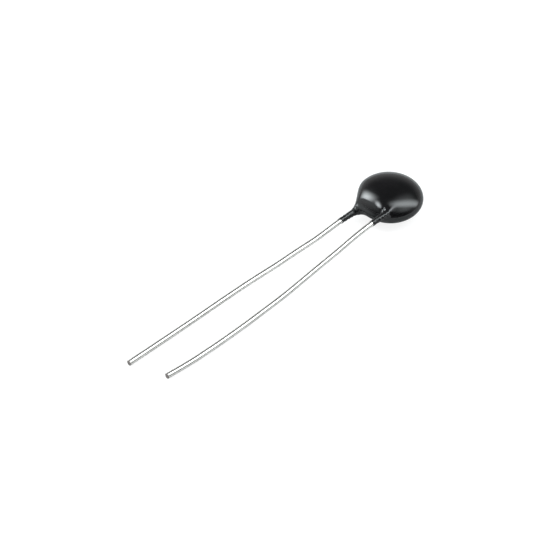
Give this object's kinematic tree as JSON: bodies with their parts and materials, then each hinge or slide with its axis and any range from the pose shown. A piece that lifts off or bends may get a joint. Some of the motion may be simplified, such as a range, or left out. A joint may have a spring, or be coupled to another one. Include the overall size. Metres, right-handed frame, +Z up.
{
  "type": "leaded disc thermistor",
  "caption": "Black epoxy-dipped disc thermistor with a pair of tinned wire leads, a temperature-sensing resistor lying on its side.",
  "frame": {"origin": "on the surface that the part lies on, below the middle of its overall box", "axes": "+Y from the cut lead tips towards the coated head, +Z up through the flat of the disc, +X towards the lead that is soldered on the upper face"},
  "size_m": [0.01, 0.0529, 0.0048],
  "materials": {
    "epoxy": "gloss",
    "ceramic": "matte",
    "silver": "satin",
    "solder": "satin",
    "tinned_wire": "gloss"
  },
  "bodies": {
    "root": {"coating": "epoxy", "ceramic_disc": "ceramic", "top_electrode": "silver", "bottom_electrode": "silver", "top_solder": "solder", "bottom_solder": "solder", "top_lead": "tinned_wire", "bottom_lead": "tinned_wire"}
  },
  "joints": []
}
